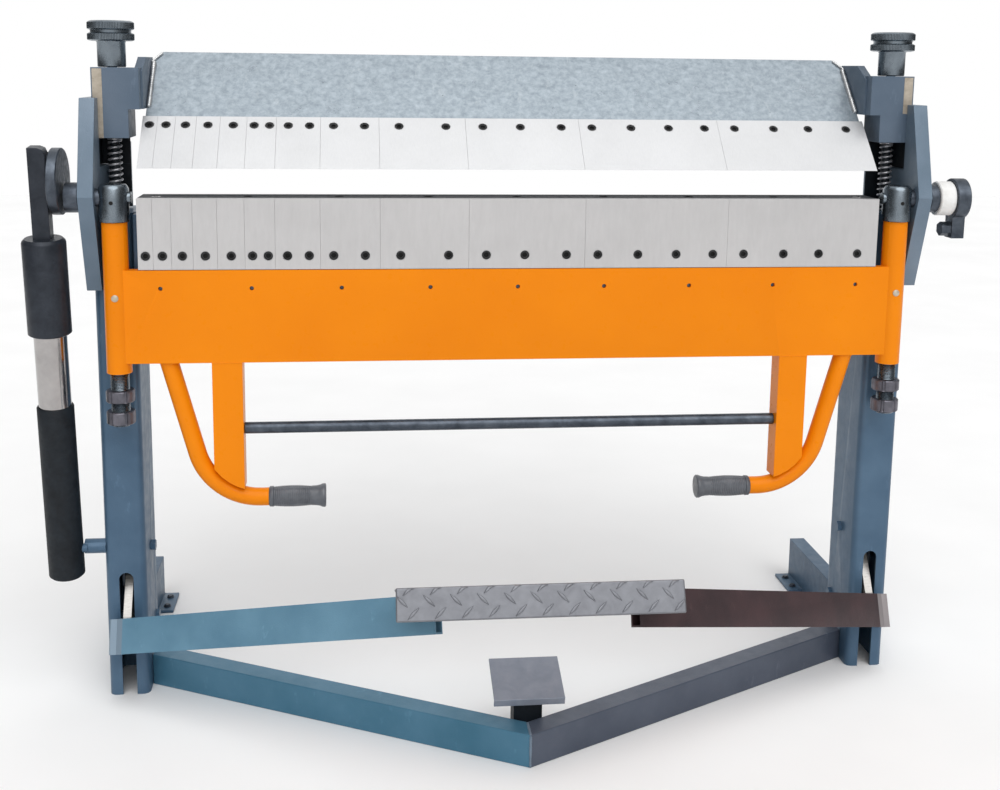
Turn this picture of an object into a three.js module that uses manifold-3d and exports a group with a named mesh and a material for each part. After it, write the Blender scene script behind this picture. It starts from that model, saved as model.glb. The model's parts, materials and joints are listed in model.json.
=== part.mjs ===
// A foot-operated segmented sheet metal brake (box and pan folding machine) on its stand.
// Millimetres, +Z up. X runs along the bend line, +Y points to the back of the machine.
// While the parts are laid out, X = 0 is the machine's middle, Y = 0 the front face of the
// hanging bending leaf and Z = 0 the floor; the whole group is centred at the end.

import * as THREE from 'three';
import { mergeVertices } from 'three/addons/utils/BufferGeometryUtils.js';
import Module from 'manifold-3d';

const wasm = await Module();
wasm.setup();

// ---------------------------------------------------------------- driving dimensions

const GAP = 0.3; // clearance between pieces that touch
const BEND_LENGTH = 1270; // full working length of the tools
const HALF_BEND = BEND_LENGTH / 2;
const BED_TOP = 900; // height of the bend line
const BEND_Y = 16; // depth of the bend line behind the leaf's front face

// Working tools. The seven narrow tools of each row, 25 to 75 wide, are one block here.
const NARROW_TOOLS = [25, 30, 35, 40, 45, 50, 75];
const WIDE_TOOLS = [100, 150, 200, 250, 270];
const LEAF_TOOL = { thickness: 15.6, bottom: 781, top: 899.7 };
const CLAMP_TOOL = { tipY: 16.6, tipZ: 948, topZ: 1031, thickness: 20 };
const CLAMP_STROKE = CLAMP_TOOL.tipZ - BED_TOP - 0.4;

// Stand
const COLUMN = { inner: 648.6, outer: 719, front: 58, back: 180, top: 869.5, wall: 5, corner: 12 };
const SLOT = { x: 683.3, width: 25, top: 230 };
const SIDE_PLATE = { inner: 702, outer: 727, bottom: 740, top: 1062, groove: 946, guardTop: 985 };
const BRACE = { apexY: -249, columnY: 95.2, depth: 40, height: 57, wall: 4 };
const REAR_FOOT = { inner: 685, width: 32, height: 88, back: 498, wall: 4, flange: 30 };
const BED_BEAM = { front: 36.6, back: 150, bottom: 720, top: 869.6, wall: 8 };
const BED_BLADE = { depth: 60, thickness: 30 };

// Clamping drive
const CLAMP_BEAM = { half: 631, top: 1140 };
const ROD = { x: 683, y: 98, radius: 8, top: 1180, end: 290 };
const BLOCK = { inner: 634, wing: 712, front: 62, back: 134, bottom: 995, step: 1043, top: 1112 };
const KNOB = { radius: 38, stemRadius: 22, bottom: 1156, top: 1189 };
const PEDAL_PIVOT = { y: 156, z: 109, radius: 8 };
const STOP_BOLT = { y: 124, z: 256, radius: 6 };
const LEVER_PIN = { y: 97.7, z: 202.3, radius: 4.5 };
const LINK = { length: 100, half: 13.5, inner: 690.4, outer: 694.4 };
const ARM = { outerX: 703, outerY: 30, outerZ: 123, innerX: 154, rise: 0.3097, run: 0.6005, height: 60, depth: 22, end: 22,
  wall: 3 };
const PEDAL_LEAN = THREE.MathUtils.degToRad(24);
const TREAD = { half: 220, topY: -333, topZ: 351, face: 50, flange: 60, plate: 5 };

// Bending leaf and its swing pivots
const TUBE = { x: 673.5, radius: 21, bore: 16.7, bottom: 604, top: 859.6 };
const CAP = { radius: 25, bottom: 860, top: 923 };
const THREAD = { radius: 16, bottom: 512 };
const LEAF = { front: 0, back: 20, bottom: 621.5, top: 780, tongueTop: 858, tongueBack: 35 };
const LEG = { inner: 468, outer: 519, back: 40 };
const HANDLE = { x: 592, y: 20, radius: 15.5, lean: 15, bend: 110, z: 378, gripStart: 428, gripEnd: 330 };
const AXLE = { radius: 15, hubRadius: 25 };
const STOP = { ring: 743, collar: 771.5, end: 795 };
const CRANK = { radius: 55, centreZ: 926.6, inner: 753, outer: 770, pinY: -8, pinZ: 963 };
const STRUT = { x: 786, pivotY: 62, pivotZ: 277, tube: 30.5, rod: 27, sleeve: 35.5, bar: 28 };

// ---------------------------------------------------------------- materials

const PAINT_BLUE = { color: 0x5f7487, roughness: 0.45, metalness: 0.3 };
const PAINT_ORANGE = { color: 0xf58a12, roughness: 0.35, metalness: 0.05 };
const PAINT_GREY = { color: 0x8d979e, roughness: 0.4, metalness: 0.5 };
const PAINT_BROWN = { color: 0x5b5350, roughness: 0.5, metalness: 0.3 };
const GROUND_STEEL = { color: 0xc9c6c2, roughness: 0.3, metalness: 0.9 };
const DARK_STEEL = { color: 0x4c5156, roughness: 0.35, metalness: 0.8 };
const BLACK_STEEL = { color: 0x24272a, roughness: 0.5, metalness: 0.5 };
const CHROME = { color: 0xd7d9dc, roughness: 0.12, metalness: 1.0 };
const TREAD_STEEL = { color: 0x83868d, roughness: 0.5, metalness: 0.5 };
const RUBBER = { color: 0x3b3e42, roughness: 0.8, metalness: 0.0 };
const NYLON = { color: 0xeeeeec, roughness: 0.5, metalness: 0.0 };
const SPRING_STEEL = { color: 0x3a3f45, roughness: 0.35, metalness: 0.9 };

// ---------------------------------------------------------------- geometry helpers

const machine = new THREE.Group();

function place(name, geometry, look) {
  const mesh = new THREE.Mesh(geometry, new THREE.MeshStandardMaterial({ ...look, name }));
  mesh.name = name;
  machine.add(mesh);
  return mesh;
}

function solid(geometry) {
  const bare = geometry.index ? geometry.toNonIndexed() : geometry.clone();
  bare.deleteAttribute('normal');
  bare.deleteAttribute('uv');
  const merged = mergeVertices(bare, 1e-4);
  return new wasm.Manifold(new wasm.Mesh({
    numProp: 3,
    vertProperties: new Float32Array(merged.attributes.position.array),
    triVerts: new Uint32Array(merged.index.array),
  }));
}

function geometryOf(manifold) {
  const mesh = manifold.getMesh();
  const geometry = new THREE.BufferGeometry();
  geometry.setAttribute('position', new THREE.BufferAttribute(new Float32Array(mesh.vertProperties), 3));
  geometry.setIndex(new THREE.BufferAttribute(new Uint32Array(mesh.triVerts), 1));
  return geometry;
}

function joined(...geometries) {
  return geometryOf(geometries.map(solid).reduce((sum, next) => sum.add(next)));
}

function cut(geometry, ...tools) {
  return geometryOf(tools.map(solid).reduce((rest, tool) => rest.subtract(tool), solid(geometry)));
}

// A block between two corners; each argument pair is a low and a high value.
function block([x0, x1], [y0, y1], [z0, z1]) {
  const box = new THREE.BoxGeometry(x1 - x0, y1 - y0, z1 - z0);
  return box.translate((x0 + x1) / 2, (y0 + y1) / 2, (z0 + z1) / 2);
}

// The same pair of X values on the left (side -1) or the right (side 1), low value first.
function span(side, near, far) {
  return side < 0 ? [-far, -near] : [near, far];
}

function roundZ(x, y, radius, [z0, z1], sides = 28) {
  const bar = new THREE.CylinderGeometry(radius, radius, z1 - z0, sides).rotateX(Math.PI / 2);
  return bar.translate(x, y, (z0 + z1) / 2);
}

function roundX(y, z, radius, [x0, x1], sides = 24) {
  const bar = new THREE.CylinderGeometry(radius, radius, x1 - x0, sides).rotateZ(Math.PI / 2);
  return bar.translate((x0 + x1) / 2, y, z);
}

// An outline of [y, z] points given a thickness along X.
function plateAcross(outline, [x0, x1], holes = []) {
  const shape = new THREE.Shape(outline.map(([y, z]) => new THREE.Vector2(y, z)));
  shape.holes.push(...holes);
  const plate = new THREE.ExtrudeGeometry(shape, { depth: x1 - x0, bevelEnabled: false, curveSegments: 12 });
  // shape X, Y and depth become machine Y, Z and X
  plate.applyMatrix4(new THREE.Matrix4().set(0, 0, 1, x0, 1, 0, 0, 0, 0, 1, 0, 0, 0, 0, 0, 1));
  return plate;
}

// An outline of [x, y] points given a height along Z.
function plateFlat(outline, [z0, z1]) {
  const shape = new THREE.Shape(outline.map(([x, y]) => new THREE.Vector2(x, y)));
  return new THREE.ExtrudeGeometry(shape, { depth: z1 - z0, bevelEnabled: false }).translate(0, 0, z0);
}

function roundHole(y, z, radius) {
  return new THREE.Path().absarc(y, z, radius, 0, 2 * Math.PI, true);
}

function roundedRectangle([x0, x1], [y0, y1], radius) {
  const shape = new THREE.Shape();
  shape.absarc(x1 - radius, y1 - radius, radius, 0, Math.PI / 2);
  shape.absarc(x0 + radius, y1 - radius, radius, Math.PI / 2, Math.PI);
  shape.absarc(x0 + radius, y0 + radius, radius, Math.PI, 1.5 * Math.PI);
  shape.absarc(x1 - radius, y0 + radius, radius, 1.5 * Math.PI, 2 * Math.PI);
  return shape;
}

function mirrored(geometry) {
  const flat = geometry.index ? geometry.toNonIndexed() : geometry.clone();
  const points = flat.attributes.position;
  for (let i = 0; i < points.count; i += 3) {
    const corner = [0, 1, 2].map((k) => new THREE.Vector3().fromBufferAttribute(points, i + k));
    [corner[0], corner[2], corner[1]].forEach((p, k) => points.setXYZ(i + k, -p.x, p.y, p.z));
  }
  flat.deleteAttribute('normal');
  flat.deleteAttribute('uv');
  return mergeVertices(flat, 1e-4);
}

const SIDES = [['left', -1], ['right', 1]];

// ---------------------------------------------------------------- stand

function column(side) {
  const c = COLUMN;
  const x = span(side, c.inner, c.outer);
  const section = roundedRectangle(x, [c.front, c.back], c.corner);
  const inside = [[x[0] + c.wall, x[1] - c.wall], [c.front + c.wall, c.back - c.wall]];
  section.holes.push(roundedRectangle(...inside, c.corner - c.wall));
  const tube = new THREE.ExtrudeGeometry(section, { depth: c.top, bevelEnabled: false, curveSegments: 4 });
  const topPlate = block([inside[0][0] - 1, inside[0][1] + 1], [inside[1][0] - 1, inside[1][1] + 1], [c.top - 8, c.top]);
  const slotX = side * SLOT.x;
  const half = SLOT.width / 2;
  const frontWall = [c.front - 5, c.front + c.wall + 2];
  const slotFoot = block([slotX - half, slotX + half], frontWall, [-1, SLOT.top - half]);
  const slotHead = new THREE.CylinderGeometry(half, half, frontWall[1] - frontWall[0], 24);
  slotHead.translate(slotX, (frontWall[0] + frontWall[1]) / 2, SLOT.top - half);
  const notch = block(span(side, SIDE_PLATE.inner - GAP, c.outer + 5), [c.front - 5, c.back + 5],
    [SIDE_PLATE.bottom - GAP, c.top + 5]);
  const rodHole = roundZ(side * ROD.x, ROD.y, ROD.radius + 1, [c.top - 20, c.top + 5], 20);
  const shell = cut(joined(tube, topPlate), slotFoot, slotHead, notch, rodHole);
  const across = span(side, c.inner + 1, c.outer - 1);
  const pivotPin = roundX(PEDAL_PIVOT.y, PEDAL_PIVOT.z, PEDAL_PIVOT.radius, across, 16);
  const pivotNut = roundX(PEDAL_PIVOT.y, PEDAL_PIVOT.z, 9, span(side, c.inner - 6, c.inner + 1), 6);
  const stopBolt = roundX(STOP_BOLT.y, STOP_BOLT.z, STOP_BOLT.radius, across, 12);
  const stopHead = roundX(STOP_BOLT.y, STOP_BOLT.z, 10, span(side, c.inner - 8, c.inner + 1), 6);
  return joined(shell, pivotPin, pivotNut, stopBolt, stopHead);
}

// The left column also carries the balance strut on a round bar with a thinner pivot end.
function strutBracket() {
  const bar = roundX(STRUT.pivotY + 9, STRUT.pivotZ, 13, [-STRUT.x + STRUT.tube + 2, -COLUMN.outer + 2]);
  const pin = roundX(STRUT.pivotY, STRUT.pivotZ, 8, [-STRUT.x - 20, -STRUT.x + STRUT.tube + 8], 16);
  return joined(bar, pin);
}

// The side plate has a groove behind its front edge, in which the guide block's wing slides.
function sidePlate(side) {
  const p = SIDE_PLATE;
  const outline = [[36, p.top], [-10, 902], [40, p.bottom], [150, p.bottom], [150, p.top]];
  const plate = plateAcross(outline, span(side, p.inner, p.outer), [roundHole(BEND_Y, BED_TOP, AXLE.radius + 0.2)]);
  const groove = block(span(side, p.inner - 1, BLOCK.wing + 0.5), [BLOCK.front - GAP, 151], [p.groove, p.top + 1]);
  const guard = block(span(side, 664, p.inner + 1), [142, 148], [COLUMN.top + 2.5, p.guardTop]);
  return joined(cut(plate, groove), guard);
}

// One arm of the V-shaped floor brace, a rectangular tube mitred at the apex.
function braceArm(side) {
  const b = BRACE;
  const slope = (b.columnY - b.apexY) / COLUMN.inner;
  const thick = b.depth * Math.hypot(1, slope);
  const wall = b.wall * Math.hypot(1, slope);
  const ends = [side * (COLUMN.inner - GAP), side * GAP / 2];
  const frontY = (x) => b.apexY + Math.abs(x) * slope;
  const outline = (inset, ends) => [
    [ends[0], frontY(ends[0]) + inset], [ends[1], frontY(ends[1]) + inset],
    [ends[1], frontY(ends[1]) + thick - inset], [ends[0], frontY(ends[0]) + thick - inset],
  ];
  const tube = plateFlat(outline(0, ends), [0, b.height]);
  const bore = plateFlat(outline(wall, [ends[0] + side * 5, ends[1] - side * 5]), [b.wall, b.height - b.wall]);
  return cut(tube, bore);
}

function rearFoot(side) {
  const f = REAR_FOOT;
  const y = [COLUMN.back + GAP, f.back];
  const rail = block(span(side, f.inner, f.inner + f.width), y, [0, f.height]);
  const flange = block(span(side, f.inner - f.flange, f.inner + 1), [y[1] - 93, y[1]], [0, 6]);
  const bore = block(span(side, f.inner + f.wall, f.inner + f.width - f.wall), [y[0] - 5, y[1] + 5],
    [f.wall, f.height - f.wall]);
  return cut(joined(rail, flange), bore);
}

function bedBeam() {
  const b = BED_BEAM;
  const length = COLUMN.inner - GAP;
  const body = block([-length, length], [b.front, b.back], [b.bottom, b.top]);
  const bore = block([-length - 5, length + 5], [b.front + b.wall, b.back - b.wall], [b.bottom + b.wall, b.top - b.wall]);
  return cut(body, bore);
}

// A plain sleeve stands for each return spring around its pull rod.
function springSleeve(side) {
  const z = [COLUMN.top + GAP, BLOCK.bottom - GAP];
  const sleeve = roundZ(side * ROD.x, ROD.y, 12.5, z, 20);
  return cut(sleeve, roundZ(side * ROD.x, ROD.y, ROD.radius + 1, [z[0] - 5, z[1] + 5], 20));
}

const RELEASE = { x: 4, y: -153, postTop: 84, plateZ: 96, half: 59, depth: 96, tilt: THREE.MathUtils.degToRad(18) };

function releasePlate() {
  const r = RELEASE;
  const top = block([-r.half, r.half], [-r.depth / 2, r.depth / 2], [12, 16]);
  const lip = block([-r.half, r.half], [-r.depth / 2, -r.depth / 2 + 4], [2, 13]);
  const boss = roundX(0, 4, 6, [-20, 20], 16);
  const rib = block([-20, 20], [-5, 5], [4, 13]);
  return joined(top, lip, boss, rib).rotateX(r.tilt).translate(r.x, r.y, r.plateZ);
}

for (const [hand, side] of SIDES) {
  const body = side < 0 ? joined(column(side), strutBracket()) : column(side);
  place(`column_${hand}`, body, PAINT_BLUE);
  place(`side_plate_${hand}`, sidePlate(side), PAINT_BLUE);
  place(`floor_brace_${hand}`, braceArm(side), PAINT_BLUE);
  place(`rear_foot_${hand}`, rearFoot(side), PAINT_BLUE);
  place(`return_spring_${hand}`, springSleeve(side), SPRING_STEEL);
}
place('bed_beam', bedBeam(), PAINT_BLUE);
place('bed_blade', block([-HALF_BEND, HALF_BEND], [BEND_Y, BEND_Y + BED_BLADE.depth],
  [BED_TOP - BED_BLADE.thickness, BED_TOP]), DARK_STEEL);
place('release_post', block([-19, 29], [-176, -132], [0, RELEASE.postTop]), BLACK_STEEL);
place('release_pedal', releasePlate(), TREAD_STEEL);

// ---------------------------------------------------------------- clamping beam

// The front face of the clamping tools leans back at 45 degrees from the tip. A point on it,
// or in front of or behind it, is given by its height and its depth square to the face.
function onClampFace(z, depth) {
  const shift = depth * Math.SQRT1_2;
  return [CLAMP_TOOL.tipY + (z - CLAMP_TOOL.tipZ) + 2 * shift, z];
}

function squareFrom(z, depth) {
  const shift = depth * Math.SQRT1_2;
  return [CLAMP_TOOL.tipY + (z - CLAMP_TOOL.tipZ) + shift, z - shift];
}

function clampTool(x) {
  const t = CLAMP_TOOL;
  return plateAcross([squareFrom(t.tipZ, 0), onClampFace(t.tipZ, t.thickness), squareFrom(t.topZ, t.thickness),
    squareFrom(t.topZ, 0)], x);
}

// A long three-cornered box, its front plate stepped back behind the tools.
function clampBeam() {
  const t = CLAMP_TOOL;
  const seat = t.thickness + 0.4;
  const topZ = CLAMP_BEAM.top;
  const plate = 14;
  const backY = squareFrom(topZ + 10, plate)[0] - 2;
  const outline = [onClampFace(953.5, seat), [75, 953.5], [backY, 975], [backY, topZ - 10], onClampFace(topZ, 2),
    squareFrom(t.topZ + 0.5, 2), squareFrom(t.topZ + 0.5, seat)];
  const wall = 12;
  const inside = new THREE.Path([[86, 968], [backY - wall, 986], [backY - wall, 1114], [134, 1040], [150, 1032]]
    .map(([y, z]) => new THREE.Vector2(y, z)));
  const beam = plateAcross(outline, [-CLAMP_BEAM.half, CLAMP_BEAM.half], [inside]);
  const corners = SIDES.map(([, side]) => {
    const [x, z] = [CLAMP_BEAM.half, CLAMP_BEAM.top];
    const wedge = [[x - 19, z + 1.6], [x + 5, z + 1.6], [x + 5, z - 20]].map(([u, v]) => new THREE.Vector2(side * u, v));
    const prism = new THREE.ExtrudeGeometry(new THREE.Shape(wedge), { depth: 60, bevelEnabled: false });
    return prism.rotateX(Math.PI / 2).translate(0, 240, 0);
  });
  return cut(beam, ...corners);
}

// The block that slides behind the side plate, with the plate that joins it to the beam.
function guideBlock(side) {
  const b = BLOCK;
  const y = [b.front, b.back];
  const head = block(span(side, b.inner, b.wing), y, [b.step, b.top]);
  const foot = block(span(side, 653, b.wing), y, [b.bottom, b.step + 1]);
  const outline = [[84, b.step], [84, b.top - 6], [128, 1130], [204, 1130], [204, 1118], [129, b.step]];
  const link = plateAcross(outline, span(side, CLAMP_BEAM.half + GAP, b.inner + 11));
  const bore = roundZ(side * ROD.x, ROD.y, ROD.radius + GAP, [b.bottom - 5, b.top + 5], 20);
  return cut(joined(head, foot, link), bore);
}

function pullRod(side) {
  const r = ROD;
  const rod = roundZ(side * r.x, r.y, r.radius, [r.end + 40, r.top], 20);
  const tongue = block(span(side, r.x - 5, r.x + 5), [r.y - 8, r.y + 8], [r.end, r.end + 45]);
  const pin = roundX(LEVER_PIN.y, LEVER_PIN.z + LINK.length, LEVER_PIN.radius, span(side, r.x, LINK.outer), 12);
  return joined(rod, tongue, pin);
}

function knob(side) {
  const k = KNOB;
  const profile = [[0, BLOCK.top + GAP], [k.stemRadius, BLOCK.top + GAP], [k.stemRadius, k.bottom - 1],
    [k.radius - 2, k.bottom], [k.radius, k.bottom + 2], [k.radius, k.bottom + 12], [k.radius - 4, k.bottom + 14],
    [k.radius - 4, k.bottom + 17], [k.radius, k.bottom + 19], [k.radius, k.top - 3], [k.radius - 3, k.top],
    [0, k.top]].map(([r, z]) => new THREE.Vector2(r, z));
  const body = new THREE.LatheGeometry(profile, 32).rotateX(Math.PI / 2).translate(side * ROD.x, ROD.y, 0);
  return cut(body, roundZ(side * ROD.x, ROD.y, ROD.radius + GAP, [BLOCK.top - 5, ROD.top + 1], 20));
}

function toolRow(prefix, make, look) {
  const narrow = NARROW_TOOLS.reduce((sum, width) => sum + width, 0);
  let x = -HALF_BEND;
  for (const [name, width] of [['narrow', narrow], ...WIDE_TOOLS.map((w) => [w, w])]) {
    place(`${prefix}_${name}`, make([x + 0.1, x + width - 0.1]), look);
    x += width;
  }
}

place('clamping_beam', clampBeam(), PAINT_GREY);
toolRow('clamping_tool', clampTool, GROUND_STEEL);
for (const [hand, side] of SIDES) {
  place(`guide_block_${hand}`, guideBlock(side), PAINT_BLUE);
  place(`pull_rod_${hand}`, pullRod(side), DARK_STEEL);
  place(`adjusting_knob_${hand}`, knob(side), DARK_STEEL);
}

// ---------------------------------------------------------------- pedal and its linkage

// A stadium-shaped bar in the Y-Z plane between two pins.
function strap([y, z0], z1, half, x, holes) {
  const shape = new THREE.Shape();
  shape.absarc(y, z1, half, 0, Math.PI);
  shape.absarc(y, z0, half, Math.PI, 2 * Math.PI);
  return plateAcross(shape.getPoints(10).map((p) => [p.x, p.y]), x, holes);
}

function connectingLink(side) {
  const top = LEVER_PIN.z + LINK.length;
  const holes = [roundHole(LEVER_PIN.y, top, LEVER_PIN.radius + 0.4), roundHole(LEVER_PIN.y, LEVER_PIN.z, 9.5)];
  return strap([LEVER_PIN.y, LEVER_PIN.z], top, LINK.half, span(side, LINK.inner, LINK.outer), holes);
}

function pedalLever(side) {
  const shape = new THREE.Shape();
  shape.moveTo(28, 95);
  shape.lineTo(PEDAL_PIVOT.y - 5, PEDAL_PIVOT.z - 16);
  shape.absarc(PEDAL_PIVOT.y, PEDAL_PIVOT.z, 17, -0.6 * Math.PI, 0.25 * Math.PI);
  shape.absarc(LEVER_PIN.y, LEVER_PIN.z, 13, 0.25 * Math.PI, 0.7 * Math.PI);
  shape.lineTo(52.5, 150);
  const outline = shape.getPoints(8).map((p) => [p.x, p.y]);
  const hole = roundHole(PEDAL_PIVOT.y, PEDAL_PIVOT.z, PEDAL_PIVOT.radius + 0.2);
  const plate = plateAcross(outline, span(side, ROD.x - 7, ROD.x + 7), [hole]);
  const pin = roundX(LEVER_PIN.y, LEVER_PIN.z, LEVER_PIN.radius, span(side, ROD.x, LINK.outer), 12);
  return joined(plate, pin);
}

// Each pedal arm is a rectangular tube that leans back and runs inwards and up from a short solid
// block at its outer end.
function pedalArm() {
  const a = ARM;
  const along = new THREE.Vector3(1, -a.run, a.rise);
  const length = (a.outerX - a.innerX) * along.length();
  along.normalize();
  const lean = new THREE.Vector3(0, Math.sin(PEDAL_LEAN), Math.cos(PEDAL_LEAN));
  const up = lean.clone().addScaledVector(along, -lean.dot(along)).normalize();
  const back = new THREE.Vector3().crossVectors(up, along);
  const [h, d] = [a.height / 2, a.depth];
  const wall = block([-d / 2, d / 2], [-h, h], [0, length]);
  const hollow = block([a.wall - d / 2, d / 2 - a.wall], [a.wall - h, h - a.wall], [a.end, length + 1]);
  const bar = cut(wall, hollow);
  const frame = new THREE.Matrix4().makeBasis(back, up, along);
  bar.applyMatrix4(frame).translate(-a.outerX, a.outerY, a.outerZ);
  const inset = a.end / 2 - 3;
  const end = block([-a.end / 2, a.end / 2], [-d / 2 - 2, d / 2 + 2], [-h, h]).rotateX(-PEDAL_LEAN);
  end.translate(inset - a.outerX, a.outerY - a.run * inset, a.outerZ + a.rise * inset);
  return joined(bar, end);
}

// The tread is a strip of chequer plate with its top edge folded back.
function tread() {
  const t = TREAD;
  const x = [-t.half, t.half];
  const face = block(x, [-t.plate, 0], [-t.face, 0]);
  const flange = block(x, [-1, t.flange], [-t.plate, 0]);
  return joined(face, flange).rotateX(-PEDAL_LEAN).translate(0, t.topY, t.topZ);
}

const leftArm = pedalArm();
place('pedal_arm_left', leftArm, PAINT_BLUE);
place('pedal_arm_right', mirrored(leftArm), PAINT_BROWN);
place('pedal_tread', tread(), TREAD_STEEL);
for (const [hand, side] of SIDES) {
  place(`pedal_lever_${hand}`, pedalLever(side), GROUND_STEEL);
  place(`connecting_link_${hand}`, connectingLink(side), DARK_STEEL);
}

// ---------------------------------------------------------------- bending leaf

function leafTool(x) {
  return block(x, [0, LEAF_TOOL.thickness], [LEAF_TOOL.bottom, LEAF_TOOL.top]);
}

// The handle's bend: where it starts and ends, and its centre.
const HANDLE_BEND = (() => {
  const h = HANDLE;
  const lean = THREE.MathUtils.degToRad(h.lean);
  const cornerX = h.x - (LEAF.bottom - h.z) * Math.tan(lean);
  const reach = h.bend * Math.tan((Math.PI / 2 - lean) / 2);
  return { lean, endX: cornerX - reach, centreZ: h.z + h.bend };
})();

// The height of a leg's foot at x, which follows the top of the handle's bend.
function aboveHandle(x) {
  const inside = HANDLE.bend - HANDLE.radius - 1.2;
  return HANDLE_BEND.centreZ - Math.sqrt(inside ** 2 - (x - HANDLE_BEND.endX) ** 2);
}

function leafBeam() {
  const l = LEAF;
  const plate = block([-TUBE.x, TUBE.x], [l.front, l.back], [l.bottom, l.top]);
  const tongue = block([-HALF_BEND, HALF_BEND], [LEAF_TOOL.thickness + GAP, l.tongueBack], [l.top - 20, l.tongueTop]);
  const tubes = SIDES.map(([, side]) => roundZ(side * TUBE.x, BEND_Y, TUBE.radius, [TUBE.bottom, TUBE.top]));
  const legs = SIDES.map(([, side]) => {
    const foot = [0, 1, 2, 3, 4].map((i) => LEG.inner + ((LEG.outer - LEG.inner) * i) / 4);
    const front = [...foot.map((x) => [x, aboveHandle(x)]), [LEG.outer, l.bottom + 1], [LEG.inner, l.bottom + 1]]
      .map(([x, z]) => new THREE.Vector2(side * x, z));
    const leg = new THREE.ExtrudeGeometry(new THREE.Shape(front), { depth: LEG.back, bevelEnabled: false });
    return leg.rotateX(Math.PI / 2).translate(0, LEG.back, 0);
  });
  const bores = SIDES.map(([, side]) => roundZ(side * TUBE.x, BEND_Y, TUBE.bore, [TUBE.bottom - 5, TUBE.top + 5]));
  return cut(joined(plate, tongue, ...tubes, ...legs), ...bores);
}

// A tube that leaves the leaf at a slant, bends inwards under the leg and carries the grip.
function handle(side) {
  const h = HANDLE;
  const b = HANDLE_BEND;
  const at = (x, z) => new THREE.Vector3(side * x, h.y, z);
  const steps = 8;
  const points = [at(h.x + 5 * Math.tan(b.lean), LEAF.bottom + 5)];
  for (let i = 0; i <= steps; i += 1) {
    const angle = b.lean + (i / steps) * (Math.PI / 2 - b.lean);
    points.push(at(b.endX + h.bend * Math.cos(angle), b.centreZ - h.bend * Math.sin(angle)));
  }
  points.push(at(h.gripStart + GAP, h.z));
  const tube = sweep(points.slice(1).map((point, i) => new THREE.LineCurve3(points[i], point)), h.radius);
  return cut(tube, block([-700, 700], [0, 40], [LEAF.bottom - GAP, LEAF.bottom + 40]));
}

// A round section carried along straight pieces, with mitred joints.
function sweep(lines, radius, sides = 16) {
  const points = [lines[0].v1, ...lines.map((line) => line.v2)];
  const directions = lines.map((line) => line.v2.clone().sub(line.v1).normalize());
  const across = new THREE.Vector3(0, 1, 0);
  const positions = [];
  points.forEach((point, i) => {
    const before = directions[Math.max(i - 1, 0)];
    const after = directions[Math.min(i, directions.length - 1)];
    const tangent = before.clone().add(after).normalize();
    const stretch = 1 / tangent.dot(before);
    const normal = new THREE.Vector3().crossVectors(tangent, across).normalize();
    for (let k = 0; k < sides; k += 1) {
      const angle = (2 * Math.PI * k) / sides;
      const p = point.clone().addScaledVector(across, radius * Math.cos(angle));
      p.addScaledVector(normal, radius * stretch * Math.sin(angle));
      positions.push(p.x, p.y, p.z);
    }
  });
  const index = [];
  const rings = points.length;
  for (let i = 0; i + 1 < rings; i += 1) {
    for (let k = 0; k < sides; k += 1) {
      const [a, b] = [i * sides + k, i * sides + (k + 1) % sides];
      index.push(a, b, b + sides, a, b + sides, a + sides);
    }
  }
  for (let k = 1; k + 1 < sides; k += 1) {
    const end = (rings - 1) * sides;
    index.push(0, k + 1, k, end, end + k, end + k + 1);
  }
  const geometry = new THREE.BufferGeometry();
  geometry.setAttribute('position', new THREE.Float32BufferAttribute(positions, 3));
  geometry.setIndex(index);
  return geometry;
}

place('bending_leaf', leafBeam(), PAINT_ORANGE);
toolRow('bending_tool', leafTool, GROUND_STEEL);
for (const [hand, side] of SIDES) {
  place(`handle_${hand}`, handle(side), PAINT_ORANGE);
  place(`grip_${hand}`, roundX(HANDLE.y, HANDLE.z, 18, span(side, HANDLE.gripEnd, HANDLE.gripStart)), RUBBER);
}
place('cross_rod', roundX(20, 502, 10, [GAP - LEG.inner, LEG.inner - GAP]), DARK_STEEL);

// ---------------------------------------------------------------- swing pivots

// A turned cap on the bend line, carrying the threaded rod that the leaf's tube hangs on.
function pivotCap(side) {
  const c = CAP;
  const body = roundZ(side * TUBE.x, BEND_Y, c.radius, [c.bottom, c.top - 4], 32);
  const crown = new THREE.CylinderGeometry(c.radius - 4, c.radius, 4, 32).rotateX(Math.PI / 2);
  crown.translate(side * TUBE.x, BEND_Y, c.top - 2);
  const rod = roundZ(side * TUBE.x, BEND_Y, THREAD.radius, [THREAD.bottom, c.bottom + 5]);
  const bore = roundX(BEND_Y, BED_TOP, AXLE.radius + 0.2, span(side, TUBE.x - 5, TUBE.x + 40));
  return cut(joined(body, crown, rod), bore);
}

function pivotAxle(side) {
  const journal = roundX(BEND_Y, BED_TOP, AXLE.radius, span(side, TUBE.x - 4, side < 0 ? CRANK.inner - 5 : STOP.end + 1));
  const hub = roundX(BEND_Y, BED_TOP, AXLE.hubRadius, span(side, SIDE_PLATE.outer + 0.5, side < 0 ? CRANK.inner - 3 : STOP.ring - 0.4));
  return joined(journal, hub);
}

function ringNut(side, z) {
  const nut = roundZ(side * TUBE.x, BEND_Y, 24, z, 28);
  return cut(nut, roundZ(side * TUBE.x, BEND_Y, THREAD.radius + GAP, [z[0] - 5, z[1] + 5]));
}

function crankDisc() {
  const c = CRANK;
  const disc = roundX(BEND_Y, c.centreZ, c.radius, [-c.outer, -c.inner], 40);
  const pin = roundX(c.pinY, c.pinZ, 9, [-c.outer - 0.7, -c.outer + 1], 16);
  return joined(disc, pin);
}

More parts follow.
